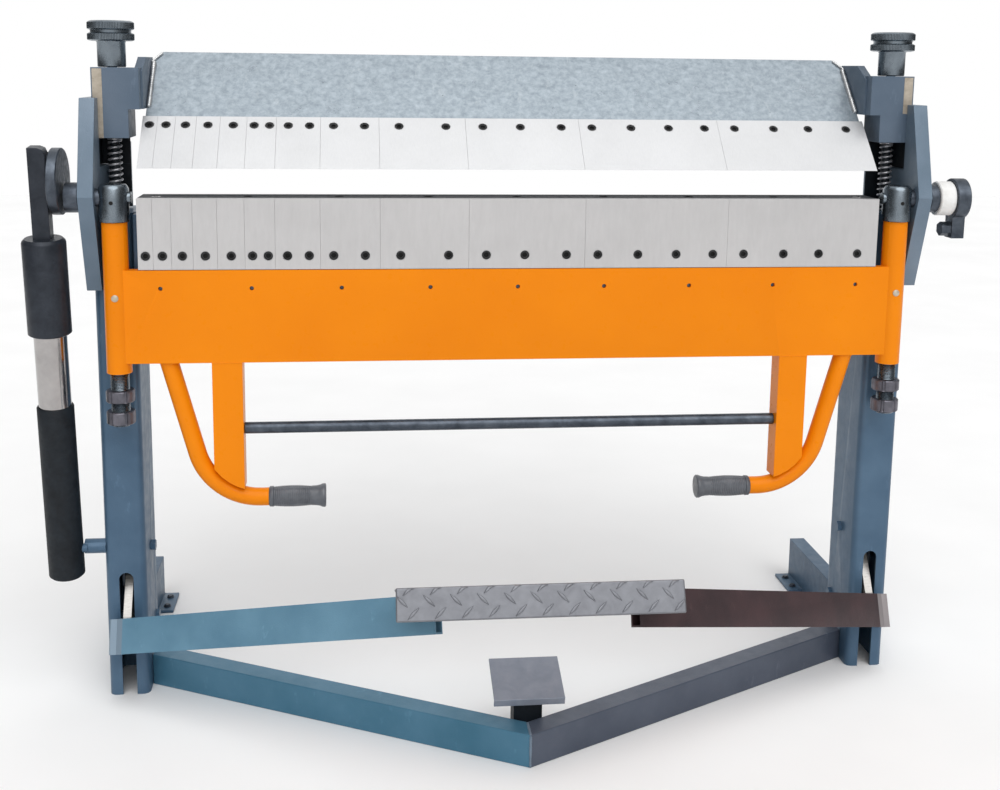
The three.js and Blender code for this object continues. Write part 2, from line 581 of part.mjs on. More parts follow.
function stopCollar() {
  const x = [STOP.collar, STOP.end];
  const ring = roundX(BEND_Y, BED_TOP, 35.5, x, 32);
  const lug = block(x, [BEND_Y - 14, BEND_Y + 14], [BED_TOP - 70, BED_TOP - 25]);
  const bolt = roundX(BEND_Y, BED_TOP - 54, 13, [x[0] - 17, x[0] + 1], 6);
  const bore = roundX(BEND_Y, BED_TOP, AXLE.radius + GAP, [x[0] - 5, x[1] + 5]);
  return cut(joined(ring, lug, bolt), bore);
}

for (const [hand, side] of SIDES) {
  place(`pivot_cap_${hand}`, pivotCap(side), DARK_STEEL);
  place(`pivot_axle_${hand}`, pivotAxle(side), DARK_STEEL);
  place(`height_nut_${hand}`, ringNut(side, [554, 574]), DARK_STEEL);
  place(`lock_nut_${hand}`, ringNut(side, [516, 538]), DARK_STEEL);
}
place('crank_disc', crankDisc(), DARK_STEEL);
place('stop_ring', cut(roundX(BEND_Y, BED_TOP, 30, [STOP.ring, STOP.collar - GAP], 32),
  roundX(BEND_Y, BED_TOP, AXLE.radius + GAP, [STOP.ring - 5, STOP.collar + 5])), NYLON);
place('stop_collar', stopCollar(), DARK_STEEL);

// ---------------------------------------------------------------- balance strut

// Laid out upright around its lower pivot, then leaned so that its top meets the crank pin.
const STRUT_LEAN = Math.atan2(STRUT.pivotY - CRANK.pinY, CRANK.pinZ - STRUT.pivotZ);
const STRUT_REACH = Math.hypot(STRUT.pivotY - CRANK.pinY, CRANK.pinZ - STRUT.pivotZ);

function placeStrut(name, geometry, look) {
  geometry.rotateX(STRUT_LEAN).translate(-STRUT.x, STRUT.pivotY, STRUT.pivotZ);
  place(name, geometry, look);
}

const STRUT_ZONES = { foot: -50, tubeTop: 268, sleeve: [396, 560], reach: STRUT_REACH };

function strutTube() {
  const z = STRUT_ZONES;
  const bore = roundZ(0, 0, STRUT.rod + 0.3, [40, z.tubeTop + 5], 28);
  const cross = roundX(0, 0, 8.3, [-40, 40], 16);
  return cut(roundZ(0, 0, STRUT.tube, [z.foot, z.tubeTop], 28), bore, cross);
}

function strutSleeve() {
  const z = STRUT_ZONES;
  const bar = block([-STRUT.bar / 2, STRUT.bar / 2], [-STRUT.bar / 2, STRUT.bar / 2], [z.sleeve[1] - 5, z.reach + 22]);
  return joined(roundZ(0, 0, STRUT.sleeve, z.sleeve, 28), bar);
}

placeStrut('strut_tube', strutTube(), BLACK_STEEL);
placeStrut('strut_rod', roundZ(0, 0, STRUT.rod, [150, STRUT_ZONES.sleeve[0] - GAP], 28), CHROME);
placeStrut('strut_sleeve', strutSleeve(), BLACK_STEEL);

// ---------------------------------------------------------------- centring

const extent = new THREE.Box3().setFromObject(machine);
const centre = extent.getCenter(new THREE.Vector3());
machine.position.set(-centre.x, -centre.y, -extent.min.z);

export default machine;
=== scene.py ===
import json
from math import atan2, cos, hypot, pi, radians, sin, tan

import bmesh
import bpy
from mathutils import Matrix, Vector
from mathutils.noise import noise as hash_noise


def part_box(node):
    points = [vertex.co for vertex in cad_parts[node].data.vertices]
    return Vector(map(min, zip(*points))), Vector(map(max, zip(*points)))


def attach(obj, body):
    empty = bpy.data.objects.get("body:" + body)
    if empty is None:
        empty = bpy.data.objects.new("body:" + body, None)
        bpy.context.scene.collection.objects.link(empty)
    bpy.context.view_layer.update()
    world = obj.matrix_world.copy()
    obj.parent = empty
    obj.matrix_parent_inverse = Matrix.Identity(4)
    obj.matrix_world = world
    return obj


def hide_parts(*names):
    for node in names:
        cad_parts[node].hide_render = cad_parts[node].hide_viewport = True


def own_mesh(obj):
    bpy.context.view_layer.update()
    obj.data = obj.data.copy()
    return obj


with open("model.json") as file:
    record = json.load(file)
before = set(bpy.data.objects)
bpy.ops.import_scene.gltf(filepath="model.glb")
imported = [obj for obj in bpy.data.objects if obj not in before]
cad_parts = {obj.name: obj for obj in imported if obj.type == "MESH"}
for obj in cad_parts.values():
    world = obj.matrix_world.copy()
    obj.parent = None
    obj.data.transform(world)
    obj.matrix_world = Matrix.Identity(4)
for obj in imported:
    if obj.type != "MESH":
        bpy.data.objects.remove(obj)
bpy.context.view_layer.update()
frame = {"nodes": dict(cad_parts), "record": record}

record = frame["record"]
BODY_OF = {node: body for body, nodes in record["behaviour"]["bodies"].items() for node in nodes}
SIDES = (("left", -1), ("right", 1))

# Layout coordinates are millimetres: X from the middle, Y from the leaf's front face, Z from the floor.
blade_low, blade_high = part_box("bed_blade")
BEND_Y, BED_TOP = 16.0, 900.0
ROD_X, ROD_Y = 683, 98  # the pull rods
PIVOT_X = 673.5  # the swing pivots
OFFSET = Vector(((blade_low[0] + blade_high[0]) / 2, blade_low[1] - BEND_Y / 1000, 0))


def at(x, y, z):
    return Vector((x, y, z)) / 1000 + OFFSET


# ---------------------------------------------------------------- materials

class Look:
    """A Principled material with a few helpers to wire procedural textures into it."""

    def __init__(self, name, **sockets):
        self.material = bpy.data.materials.new(name)
        self.material.use_nodes = True
        self.tree = self.material.node_tree
        self.shader = self.tree.nodes["Principled BSDF"]
        for socket, value in sockets.items():
            self.shader.inputs[socket.replace("_", " ")].default_value = value
        self.coordinates = self.tree.nodes.new("ShaderNodeTexCoord").outputs["Object"]
        self.normal = None

    def link(self, source, target):
        self.tree.links.new(source, target)

    def stretched(self, stretch):
        mapping = self.tree.nodes.new("ShaderNodeMapping")
        mapping.inputs["Scale"].default_value = stretch
        self.link(self.coordinates, mapping.inputs["Vector"])
        return mapping.outputs["Vector"]

    def noise(self, scale, detail=3.0, stretch=(1, 1, 1), roughness=0.55, distortion=0.0):
        texture = self.tree.nodes.new("ShaderNodeTexNoise")
        texture.inputs["Scale"].default_value = scale
        texture.inputs["Detail"].default_value = detail
        texture.inputs["Roughness"].default_value = roughness
        texture.inputs["Distortion"].default_value = distortion
        self.link(self.stretched(stretch), texture.inputs["Vector"])
        return texture.outputs["Fac"]

    def cells(self, scale):
        texture = self.tree.nodes.new("ShaderNodeTexVoronoi")
        texture.feature = "SMOOTH_F1"
        texture.inputs["Scale"].default_value = scale
        self.link(self.coordinates, texture.inputs["Vector"])
        return texture.outputs["Distance"]

    def ramp(self, factor, *stops):
        node = self.tree.nodes.new("ShaderNodeValToRGB")
        elements = node.color_ramp.elements
        while len(elements) < len(stops):
            elements.new(0.5)
        for element, (position, colour) in zip(elements, stops):
            element.position = position
            element.color = (*colour, 1) if isinstance(colour, tuple) else (colour, colour, colour, 1)
        self.link(factor, node.inputs["Fac"])
        return node.outputs["Color"]

    def mix(self, factor, first, second, blend="MIX"):
        node = self.tree.nodes.new("ShaderNodeMix")
        node.data_type = "RGBA"
        node.blend_type = blend
        if isinstance(factor, float):
            node.inputs["Factor"].default_value = factor
        else:
            self.link(factor, node.inputs["Factor"])
        for socket, value in ((node.inputs[6], first), (node.inputs[7], second)):
            if isinstance(value, tuple):
                socket.default_value = (*value, 1)
            else:
                self.link(value, socket)
        return node.outputs[2]

    def beyond(self, distance):
        """1 where a point lies further than distance millimetres from the middle of the machine."""
        position = self.tree.nodes.new("ShaderNodeSeparateXYZ")
        self.link(self.coordinates, position.inputs["Vector"])
        value = position.outputs["X"]
        for operation, amount in (("SUBTRACT", OFFSET.x), ("ABSOLUTE", 0.0),
                                  ("GREATER_THAN", distance / 1000)):
            node = self.tree.nodes.new("ShaderNodeMath")
            node.operation = operation
            node.inputs[1].default_value = amount
            self.link(value, node.inputs[0])
            value = node.outputs["Value"]
        return value

    def bump(self, height, distance, strength=1.0):
        node = self.tree.nodes.new("ShaderNodeBump")
        node.inputs["Strength"].default_value = strength
        node.inputs["Distance"].default_value = distance
        self.link(height, node.inputs["Height"])
        if self.normal is not None:
            self.link(self.normal, node.inputs["Normal"])
        self.normal = node.outputs["Normal"]
        self.link(self.normal, self.shader.inputs["Normal"])

    def colour(self, source):
        self.link(source, self.shader.inputs["Base Color"])

    def rough(self, source):
        self.link(source, self.shader.inputs["Roughness"])


def frame_paint(name, dark, light, end=None):
    """Hammered machine paint: broad cloudy shading, small dimples and faint scuffs. With end, the pedal arms'
    end blocks are painted that paler colour, a painted highlight for the light their ends catch."""
    look = Look(name, Metallic=0.2, Specular_IOR_Level=0.3, Coat_Weight=0.05, Coat_Roughness=0.35)
    clouds = look.ramp(look.noise(7, 4), (0.3, dark), (0.7, light))
    scuffs = look.ramp(look.noise(38, 6, (1, 1, 0.35), 0.7), (0.62, 0.0), (0.74, 1.0))
    worn = tuple(min(1.0, c * 1.55 + 0.02) for c in light)
    paint = look.mix(look.mix(0.4, (0.0, 0.0, 0.0), scuffs), clouds, worn)
    # Past 685 mm from the middle, on the pedal arms' end blocks, the end colour is laid on as a painted
    # highlight.
    look.colour(look.mix(look.beyond(685), paint, end) if end else paint)
    look.rough(look.ramp(look.noise(60, 4), (0.3, 0.3), (0.7, 0.46)))
    look.bump(look.cells(430), 0.0003, 0.6)
    return look


def orange_paint():
    look = Look("orange_gloss", Metallic=0.0, Specular_IOR_Level=0.1, Coat_Weight=0.04, Coat_Roughness=0.12)
    look.colour(look.ramp(look.noise(4, 3), (0.3, (0.79, 0.212, 0.002)), (0.7, (0.85, 0.245, 0.003))))
    look.rough(look.ramp(look.noise(90, 3), (0.3, 0.26), (0.7, 0.36)))
    look.bump(look.noise(260, 2), 0.0002, 0.35)
    return look


def ground_steel(name, dark, light, grain, rough=(0.24, 0.4), metallic=0.6):
    """Surface-ground steel, its tone and gloss drawn out along one direction."""
    look = Look(name, Metallic=metallic)
    lines = look.noise(60, 5, grain, 0.7)
    tone = look.ramp(lines, (0.3, dark), (0.7, light))
    stains = look.ramp(look.noise(9, 5, (1, 1, 1), 0.6), (0.35, 0.93), (0.65, 1.0))
    look.colour(look.mix(0.8, tone, stains, "MULTIPLY"))
    look.rough(look.ramp(lines, (0.3, rough[0]), (0.7, rough[1])))
    return look


def turned_steel(name, dark, light, metallic=0.85, rough=(0.28, 0.5)):
    """Oiled, slightly stained machined steel."""
    look = Look(name, Metallic=metallic, Specular_IOR_Level=0.3)
    patches = look.noise(38, 6, (1, 1, 1), 0.65, 0.4)
    look.colour(look.ramp(patches, (0.32, dark), (0.68, light)))
    look.rough(look.ramp(look.noise(120, 4), (0.3, rough[0]), (0.7, rough[1])))
    look.bump(look.noise(420, 3), 0.0001, 0.6)
    return look


def beam_paint():
    """Thin grey paint rubbed over bare steel plate, with cloudy metallic patches."""
    look = Look("beam_grey", Metallic=0.55, Coat_Weight=0.2, Coat_Roughness=0.25)
    clouds = look.ramp(look.noise(85, 7, (1, 1, 1), 0.7, 0.2), (0.3, (0.22, 0.265, 0.305)),
                       (0.7, (0.41, 0.47, 0.52)))
    rubs = look.ramp(look.noise(30, 7, (2.0, 1, 0.8), 0.7, 0.6), (0.58, 0.0), (0.72, 1.0))
    look.colour(look.mix(look.mix(0.45, (0.0, 0.0, 0.0), rubs), clouds, (0.52, 0.57, 0.6)))
    look.rough(look.ramp(look.noise(30, 5), (0.3, 0.26), (0.7, 0.42)))
    look.bump(look.noise(300, 3), 0.00015, 0.5)
    return look


def rubber():
    look = Look("grip_rubber", Metallic=0.0, Specular_IOR_Level=0.6)
    look.colour(look.ramp(look.noise(60, 4), (0.3, (0.075, 0.082, 0.095)), (0.7, (0.12, 0.128, 0.145))))
    look.rough(look.ramp(look.noise(150, 4), (0.3, 0.3), (0.7, 0.45)))
    look.bump(look.noise(900, 3), 0.0001, 0.3)
    return look


BLUE = frame_paint("frame_blue", (0.05, 0.1, 0.165), (0.088, 0.155, 0.235))
BLUE_PALE = frame_paint("plate_blue", (0.12, 0.17, 0.225), (0.185, 0.24, 0.305))
# The last colour of ARM_BLUE is a painted highlight that makes the left pedal arm's end block paler.
ARM_BLUE = frame_paint("arm_blue", (0.11, 0.235, 0.335), (0.165, 0.32, 0.435), (0.2, 0.27, 0.34))
BLOCK = frame_paint("block_grey", (0.08, 0.118, 0.168), (0.125, 0.165, 0.22))
# The last colour of BROWN is a painted highlight that makes the right pedal arm's end block paler.
BROWN = frame_paint("arm_brown", (0.034, 0.026, 0.029), (0.085, 0.046, 0.049), (0.24, 0.22, 0.225))
BRACES = {"left": frame_paint("brace_blue", (0.045, 0.15, 0.23), (0.085, 0.21, 0.31)),
          "right": frame_paint("brace_grey", (0.055, 0.068, 0.098), (0.095, 0.112, 0.15))}
ORANGE = orange_paint()
BEAM = beam_paint()
LOWER_TOOL = ground_steel("tool_lower", (0.545, 0.535, 0.535), (0.585, 0.575, 0.575), (2, 2, 0.4),
                          (0.36, 0.4))
UPPER_TOOL = ground_steel("tool_upper", (0.61, 0.615, 0.625), (0.655, 0.66, 0.67), (9, 2, 2), (0.3, 0.4), 0.4)
LEVER_STEEL = ground_steel("lever_steel", (0.34, 0.33, 0.31), (0.52, 0.5, 0.48), (1, 0.2, 6))
DARK = turned_steel("dark_steel", (0.05, 0.06, 0.076), (0.11, 0.128, 0.155))
NUT = turned_steel("nut_steel", (0.1, 0.1, 0.118), (0.19, 0.182, 0.21))
KNOB = turned_steel("knob_steel", (0.15, 0.178, 0.205), (0.22, 0.255, 0.285), 0.95, (0.18, 0.3))
BED_STEEL = turned_steel("bed_steel", (0.012, 0.014, 0.018), (0.035, 0.038, 0.045), 0.2, (0.5, 0.65))
BLACK = turned_steel("black_finish", (0.003, 0.005, 0.008), (0.01, 0.015, 0.021), 0.0, (0.5, 0.65))
SLEEVE = turned_steel("sleeve_finish", (0.018, 0.022, 0.03), (0.034, 0.04, 0.052), 0.3, (0.3, 0.45))
SCREW = turned_steel("screw_black", (0.012, 0.012, 0.013), (0.045, 0.045, 0.047), 0.3, (0.3, 0.45))
# Pale steel for the rings round the screw heads: a painted highlight on their seat chamfers.
SCREW_HIGHLIGHT = turned_steel("screw_painted_highlight", (0.42, 0.42, 0.43), (0.6, 0.6, 0.6), 0.7, (0.25, 0.4))
# Black for the screw sockets and the pivot caps' grub holes: painted shade in these holes.
HOLE_SHADE = turned_steel("hole_shade_black", (0.002, 0.002, 0.002), (0.008, 0.008, 0.008), 0.0, (0.6, 0.8))
TREAD = turned_steel("tread_grey", (0.165, 0.17, 0.188), (0.215, 0.222, 0.243), 0.55, (0.3, 0.42))
PLATE = turned_steel("release_plate", (0.22, 0.245, 0.295), (0.265, 0.29, 0.345), 0.3, (0.35, 0.55))
SPRING = turned_steel("spring_steel", (0.3, 0.3, 0.32), (0.5, 0.5, 0.52), 0.6, (0.2, 0.35))
CHROME = turned_steel("hard_chrome", (0.38, 0.365, 0.36), (0.46, 0.44, 0.435), 1.0, (0.12, 0.2))
WELD = turned_steel("weld_bead", (0.42, 0.43, 0.44), (0.8, 0.8, 0.8), 0.8, (0.25, 0.4))
GREASE = turned_steel("greased_face", (0.3, 0.255, 0.2), (0.52, 0.46, 0.38), 0.3, (0.25, 0.45))
PIN = turned_steel("pin_cream", (0.42, 0.37, 0.29), (0.6, 0.54, 0.44), 0.4, (0.3, 0.45))
NYLON = turned_steel("nylon_white", (0.72, 0.71, 0.69), (0.86, 0.86, 0.85), 0.0, (0.35, 0.5))
RUBBER = rubber()

# ---------------------------------------------------------------- mesh helpers


def finish_piece(obj, look, body, nodes=()):
    obj.data.materials.clear()
    obj.data.materials.append(look.material)
    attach(obj, body)
    if nodes:
        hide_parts(*nodes)
    return obj


def piece(name, bm, look, body, nodes=(), smooth=32, bevel=0.0, segments=2):
    bmesh.ops.remove_doubles(bm, verts=bm.verts, dist=1e-7)
    bmesh.ops.recalc_face_normals(bm, faces=bm.faces)
    mesh = bpy.data.meshes.new(name)
    bm.to_mesh(mesh)
    bm.free()
    obj = bpy.data.objects.new(name, mesh)
    bpy.context.scene.collection.objects.link(obj)
    shade(obj, smooth)
    if bevel:
        soften(obj, bevel, segments)
    return finish_piece(obj, look, body, nodes)


def shade(obj, angle):
    for polygon in obj.data.polygons:
        polygon.use_smooth = True
    obj.data.set_sharp_from_angle(angle=radians(angle))


def soften(obj, width, segments=2):
    """Rounds the sharp edges by width millimetres."""
    modifier = obj.modifiers.new("edges", "BEVEL")
    modifier.width = width / 1000
    modifier.segments = segments
    modifier.limit_method = "ANGLE"
    modifier.angle_limit = radians(32)
    modifier.harden_normals = True
    modifier.miter_outer = "MITER_ARC"


def node_mesh(node):
    """A clean copy of a CAD node's mesh with its flat faces merged."""
    bm = bmesh.new()
    bm.from_mesh(frame["nodes"][node].data)
    bmesh.ops.remove_doubles(bm, verts=bm.verts, dist=1e-6)
    bmesh.ops.dissolve_limit(bm, angle_limit=radians(0.5), verts=bm.verts, edges=bm.edges)
    return bm


def carved(bm, *cutters):
    """bm with the cutters, each a bmesh, taken out of it."""
    mesh = bpy.data.meshes.new("carving")
    bm.to_mesh(mesh)
    body = bpy.data.objects.new("carving", mesh)
    tool_mesh = bpy.data.meshes.new("cutter")
    union = bmesh.new()
    for cutter in cutters:
        part = bpy.data.meshes.new("part")
        cutter.to_mesh(part)
        cutter.free()
        union.from_mesh(part)
        bpy.data.meshes.remove(part)
    union.to_mesh(tool_mesh)
    union.free()
    tool = bpy.data.objects.new("cutter", tool_mesh)
    for obj in (body, tool):
        bpy.context.scene.collection.objects.link(obj)
    modifier = body.modifiers.new("cut", "BOOLEAN")
    modifier.object = tool
    modifier.solver = "EXACT"
    bpy.context.view_layer.update()
    result = body.evaluated_get(bpy.context.evaluated_depsgraph_get()).to_mesh()
    bm.clear()
    bm.from_mesh(result)
    bpy.data.objects.remove(body)
    bpy.data.objects.remove(tool)
    bpy.data.meshes.remove(mesh)
    bpy.data.meshes.remove(tool_mesh)
    return bm


def refine(node, look, bevel=1.0, segments=2, cutters=()):
    """A copy of a CAD node with rounded edges and smooth shading, which replaces it."""
    bm = node_mesh(node)
    if cutters:
        bm = carved(bm, *cutters)
    return piece(f"{node}_body", bm, look, BODY_OF[node], (node,), bevel=bevel,
                 segments=segments)


def axes_for(direction):
    along = Vector(direction).normalized()
    helper = Vector((0, 0, 1)) if abs(along.z) < 0.9 else Vector((0, 1, 0))
    across = along.cross(helper).normalized()
    return along, across, along.cross(across)


def revolved(origin, direction, profile, sides=72, relief=None, bm=None, capped=True):
    """Turns a profile of (along, radius[, depth]) points, in millimetres, about an axis.
    relief(angle) from 0 to 1 says how much of a point's depth is cut away there."""
    bm = bm or bmesh.new()
    along, across, over = axes_for(direction)
    rings = []
    for point in profile:
        t, radius = point[0], point[1]
        depth = point[2] if len(point) > 2 else 0.0
        centre = at(*origin) + along * t / 1000
        if radius == 0:
            rings.append([bm.verts.new(centre)])
            continue
        ring = []
        for k in range(sides):
            angle = 2 * pi * k / sides
            r = radius - (depth * relief(angle) if relief and depth else 0.0)
            ring.append(bm.verts.new(centre + (across * cos(angle) + over * sin(angle)) * r / 1000))
        rings.append(ring)
    for first, second in zip(rings, rings[1:]):
        for k in range(sides):
            j = (k + 1) % sides
            corners = [first[k % len(first)], first[j % len(first)], second[j % len(second)],
                       second[k % len(second)]]
            unique = list(dict.fromkeys(corners))
            if len(unique) > 2:
                bm.faces.new(unique)
    for ring in (rings[0], rings[-1]):
        if capped and len(ring) > 1:
            bm.faces.new(ring)
    return bm


def swept(points, radius, sides=20, bm=None, closed_ends=True):
    """A round bar along points (layout millimetres); radius is a number or one number per point."""
    bm = bm or bmesh.new()
    path = [at(*p) for p in points]
    radii = radius if isinstance(radius, list) else [radius] * len(path)
    normal = None
    rings = []
    for i, centre in enumerate(path):
        tangent = (path[min(i + 1, len(path) - 1)] - path[max(i - 1, 0)]).normalized()
        if normal is None:
            normal = axes_for(tangent)[1]
        normal = (normal - tangent * normal.dot(tangent)).normalized()
        side = tangent.cross(normal)
        rings.append([bm.verts.new(centre + (normal * cos(2 * pi * k / sides)
                                             + side * sin(2 * pi * k / sides))
                                   * radii[i] / 1000) for k in range(sides)])
    for first, second in zip(rings, rings[1:]):
        for k in range(sides):
            j = (k + 1) % sides
            bm.faces.new((first[k], first[j], second[j], second[k]))
    if closed_ends:
        bm.faces.new(rings[0])
        bm.faces.new(rings[-1])
    return bm


def prism(outline, x0, x1, bm=None):
    """A solid with an outline of (y, z) points carried from x0 to x1."""
    bm = bm or bmesh.new()
    first = [bm.verts.new(at(x0, y, z)) for y, z in outline]
    second = [bm.verts.new(at(x1, y, z)) for y, z in outline]
    bm.faces.new(first)
    bm.faces.new(second)
    for i in range(len(outline)):
        j = (i + 1) % len(outline)
        bm.faces.new((first[i], first[j], second[j], second[i]))
    return bm


def bead(name, points, radius, body, look=None):
    """A rippled weld bead along a line of points."""
    path, radii = [], []
    for start, end in zip(points, points[1:]):
        a, b = Vector(start), Vector(end)
        steps = max(2, int((b - a).length / 1.3))
        for i in range(steps):
            p = a.lerp(b, i / steps)
            path.append(p)
            ripple = 0.12 * sin(len(path) * 1.9) + 0.25 * hash_noise(p * 0.09)
            radii.append(radius * (1 + ripple))
    path.append(Vector(points[-1]))
    radii.append(radius * 0.7)
    radii[0] = radius * 0.6
    return piece(name, swept(path, radii, 10), look or WELD, body, smooth=60)


# ---------------------------------------------------------------- fasteners

SOCKET_HEAD = [(-6.0, 7.6), (-1.1, 7.6), (-0.4, 7.3), (0.0, 6.6), (0.0, 4.3)]
# A thin ring at each head's seat chamfer that carries a painted highlight.
HEAD_HIGHLIGHT_RING = [(0.2, 8.3), (0.95, 8.3), (0.95, 7.7), (0.2, 7.7), (0.2, 8.3)]


def socket_screws(name, places, direction, body, scale=1.0):
    """Socket cap screws whose head tops lie at places."""
    heads, highlight_rings, sockets = bmesh.new(), bmesh.new(), bmesh.new()
    for place in places:
        profile = [(t * scale, r * scale) for t, r in SOCKET_HEAD]
        revolved(place, direction, [(-6 * scale, 0)] + profile + [(-3.2 * scale, 4.3 * scale)], 28, bm=heads)
        # A black hexagon deep in each head stands for the socket: painted shade in the hole.
        revolved(place, direction, [(-3.4 * scale, 0), (-3.4 * scale, 4.4 * scale),
                                    (-2.6 * scale, 4.4 * scale),
                                    (-2.9 * scale, 0)], 6, bm=sockets)
        # Painted highlight: a bright ring round each screw head.
        revolved(place, direction, [(t * scale, r * scale) for t, r in HEAD_HIGHLIGHT_RING], 28, bm=highlight_rings, capped=False)
    piece(name, heads, SCREW, body, smooth=30)
    piece(f"{name}_rims", highlight_rings, SCREW_HIGHLIGHT, body, smooth=30)
    piece(f"{name}_sockets", sockets, HOLE_SHADE, body, smooth=10)


def hex_bolts(name, places, direction, size, height, look, body):
    """Hexagon heads on washers; size is across the corners."""
    bm = bmesh.new()
    for place in places:
        revolved(place, direction, [(0, 0), (0, size * 0.62), (1.4, size * 0.62), (1.7, size * 0.56),
                                    (1.7, 0)], 32, bm=bm)
        revolved(place, direction, [(1.6, 0), (1.6, size / 2), (height - 1, size / 2),
                                    (height, size / 2 - 1.2),
                                    (height, 0)], 6, bm=bm)
    piece(name, bm, look, body, smooth=25)


# ---------------------------------------------------------------- tools and their screws

WIDTHS = (25, 30, 35, 40, 45, 50, 75, 100, 150, 200, 250, 270)
SCREWS_AT = {25: (0.5,), 30: (0.5,), 35: (0.5,), 40: (0.5,), 45: (0.5,), 50: (0.25, 0.77), 75: (0.27, 0.75),
             100: (0.22, 0.75), 150: (0.23, 0.77), 200: (0.15, 0.48, 0.84), 250: (0.09, 0.37, 0.64, 0.9),
             270: (0.11, 0.375, 0.61, 0.87)}
LOWER_SCREW_Z, UPPER_SCREW_Z = 804.0, 1017.0
TIP_Y, TIP_Z, CLAMP_TOP, CLAMP_THICK = 16.6, 948.0, 1031.0, 20.0
SQUARE = CLAMP_THICK * cos(pi / 4)
CLAMP_NORMAL = (0, -1, 1)
SEAT = [(0, 0), (0, 8.4), (12, 8.4), (12, 0)]


def clamp_face(z, depth=0.0):
    """Depth and height of a point on the clamping tools' leaning face, or behind it."""
    return TIP_Y + (z - TIP_Z) + depth * cos(pi / 4), z - depth * cos(pi / 4)


def tool_rows():
    x = -635.0
    screws = {"low": {}, "up": {}}
    for width in WIDTHS:
        low, high = x + 0.08, x + width - 0.08
        label = "narrow" if width < 100 else str(width)
        places = [x + width * f for f in SCREWS_AT[width]]
        lower = prism([(0, 781), (15.6, 781), (15.6, 899.7), (0, 899.7)], low, high)
        cutters = [revolved((s, 8, LOWER_SCREW_Z), (0, -1, 0), SEAT, 40) for s in places]
        nodes = (f"bending_tool_{label}",) if width not in WIDTHS[1:7] else ()
        piece(f"lower_tool_{width}", carved(lower, *cutters), LOWER_TOOL, "leaf", nodes,
              bevel=0.25)
        outline = [clamp_face(TIP_Z), (TIP_Y + 2 * SQUARE, TIP_Z), clamp_face(CLAMP_TOP, CLAMP_THICK),
                   clamp_face(CLAMP_TOP)]
        upper = prism(outline, low, high)
        cutters = []
        for s in places:
            y, z = clamp_face(UPPER_SCREW_Z, 8)
            cutters.append(revolved((s, y, z), CLAMP_NORMAL, SEAT, 40))
        nodes = (f"clamping_tool_{label}",) if width not in WIDTHS[1:7] else ()
        piece(f"upper_tool_{width}", carved(upper, *cutters), UPPER_TOOL, "clamp", nodes,
              bevel=0.25)
        screws["low"].setdefault(label, []).extend((s, 1.0, LOWER_SCREW_Z) for s in places)
        y, z = clamp_face(UPPER_SCREW_Z, 1.0)
        screws["up"].setdefault(label, []).extend((s, y, z) for s in places)
        x += width
    for label, places in screws["low"].items():
        socket_screws(f"lower_screws_{label}", places, (0, -1, 0), "leaf")
    for label, places in screws["up"].items():
        socket_screws(f"upper_screws_{label}", places, CLAMP_NORMAL, "clamp")


tool_rows()

# ---------------------------------------------------------------- stand

for hand, side in SIDES:
    refine(f"column_{hand}", BLUE, 1.2)
    refine(f"side_plate_{hand}", BLUE_PALE, 1.5)
    refine(f"floor_brace_{hand}", BRACES[hand], 4.0, 3)
    refine(f"rear_foot_{hand}", BLUE, 2.5, 3)
    hex_bolts(f"foot_bolts_{hand}", [(side * 670, 427, 6), (side * 670, 474, 6)], (0, 0, 1), 12, 5, DARK,
              "stand")
refine("bed_beam", BLUE, 2.0)

bed_screws = [(152.0 * k, 38, BED_TOP) for k in range(-4, 5)]
bed_cutters = [revolved((x, y, z + 1), (0, 0, -1), [(0, 0), (0, 8.6), (1, 8.6), (5, 4), (5, 0)],
                        36) for x, y, z in bed_screws]
refine("bed_blade", BED_STEEL, 0.5, cutters=bed_cutters)
screw_tops = bmesh.new()
for x, y, z in bed_screws:
    revolved((x, y, z - 0.4), (0, 0, 1), [(-4, 0), (-4, 4), (0, 8.1), (0, 4), (-2.4, 3.6), (-2.4, 0)],
             30, bm=screw_tops)
piece("bed_screws", screw_tops, CHROME, "stand", smooth=25)

refine("release_post", BLACK, 1.5)
refine("release_pedal", PLATE, 2.2, 3)
bead("weld_apex", [(0, -248, 57.2), (0, -208, 57.2)], 2.2, "stand", BLUE_PALE)
bead("weld_apex_front", [(0, -249.6, 2), (0, -249.6, 56)], 2.0, "stand", BLUE_PALE)
for hand, side in SIDES:
    bead(f"weld_brace_{hand}", [(side * 648.4, 97, 57.5), (side * 648.4, 138, 57.5)], 2.4, "stand",
         BLUE_PALE)
    bead(f"weld_plate_{hand}", [(side * 719.5, 60, 741), (side * 719.5, 148, 741)], 2.2, "stand",
         BLUE_PALE)

for hand, side in SIDES:
    # Painted shade: a thin black sheet over the bottom of each side plate's groove stands in for the shade
    # there.
    groove_shade_sheet = prism([(62, 947), (150, 947), (150, 1061), (62, 1061)], side * 712.2, side * 712.5)
    piece(f"groove_painted_shade_{hand}", groove_shade_sheet, BLACK, "stand")
    # Painted shade: thin black sheets behind each spring and guide block stand in for the shade in the space
    # behind them.
    spring_shade_sheets = prism([(141.2, 872.2), (141.8, 872.2), (141.8, 946.2), (141.2, 946.2)], side * 664.2,
                    side * 701.8)
    prism([(141.2, 946.4), (141.8, 946.4), (141.8, 1010), (141.2, 1010)], side * 664.2, side * 712.2, spring_shade_sheets)
    piece(f"spring_painted_shade_{hand}", spring_shade_sheets, BLACK, "stand")

# ---------------------------------------------------------------- clamping beam, guides, knobs, springs

refine("clamping_beam", BEAM, 1.2)
SPRING_BOTTOM, SPRING_TOP, STROKE = 870.2, 994.4, 47.6


def knurl(count):
    return lambda angle: 0.5 - 0.5 * cos(count * angle)


